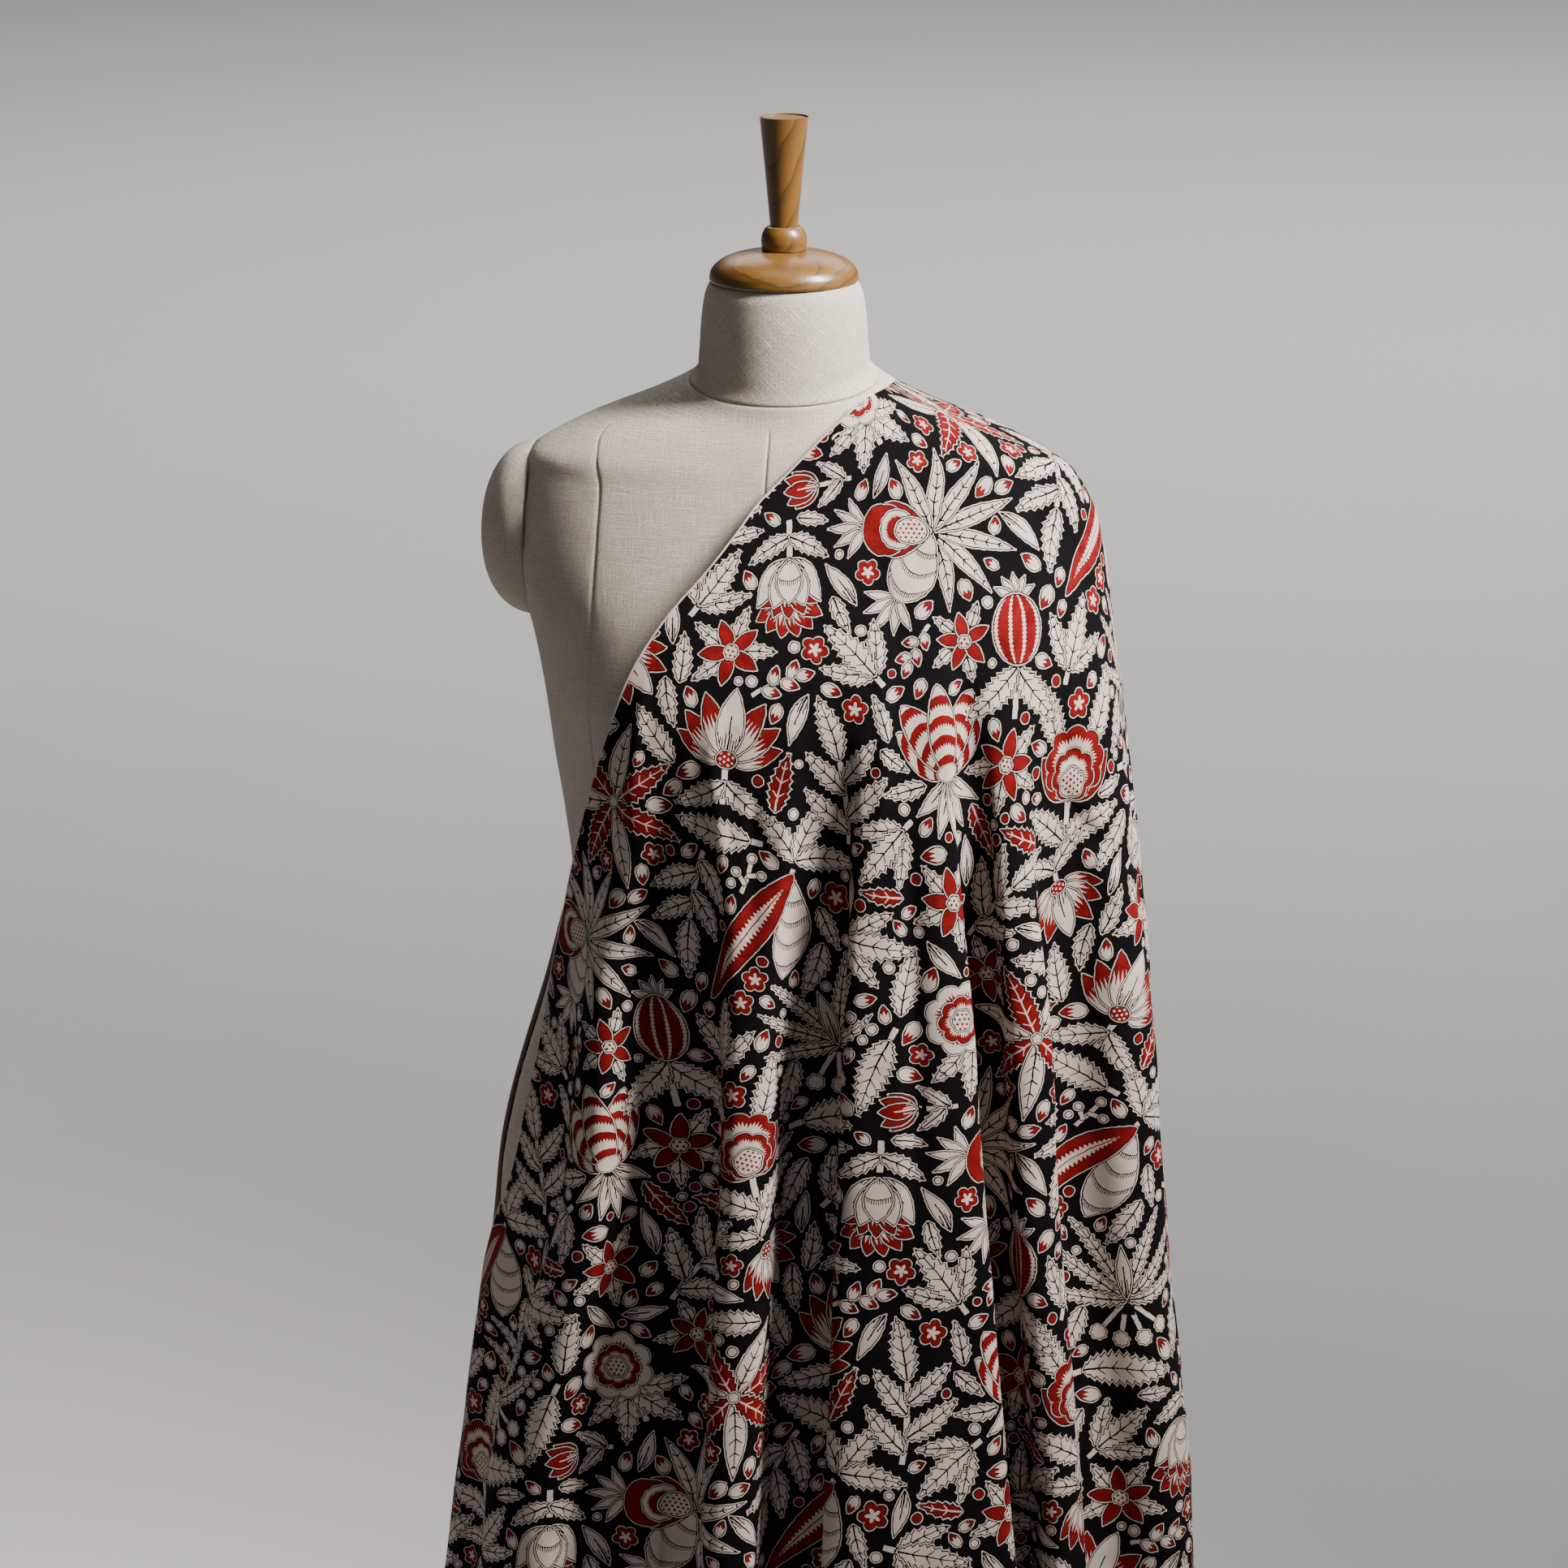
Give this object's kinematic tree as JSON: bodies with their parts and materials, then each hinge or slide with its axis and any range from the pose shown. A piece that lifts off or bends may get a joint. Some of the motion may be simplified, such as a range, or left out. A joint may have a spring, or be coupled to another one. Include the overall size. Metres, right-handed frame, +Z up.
{
  "type": "kalamkari fabric on a dress form",
  "caption": "Length of floral printed cotton draped over one shoulder of a linen-covered tailor's form, hanging in loose vertical folds above a round base.",
  "frame": {"origin": "middle of the base's flat underside, on the floor", "axes": "+Z up along the pole, -Y towards the front of the dress form, +X towards its left shoulder, which carries the cloth"},
  "size_m": [0.5706, 0.3924, 1.5822],
  "materials": {
    "printed_cotton": "matt plain-weave cotton, printed in cream and brick red on black",
    "linen": "natural linen with slubs",
    "turned_wood": "varnished honey-coloured wood",
    "painted_steel": "satin black paint"
  },
  "bodies": {
    "root": {"cloth": "printed_cotton", "torso": "linen", "neck": "linen", "arm_stump_left": "linen", "arm_stump_right": "linen", "neck_cap": "turned_wood", "handle": "turned_wood", "pole_collar": "turned_wood", "pole": "turned_wood", "base": "painted_steel"}
  },
  "joints": []
}
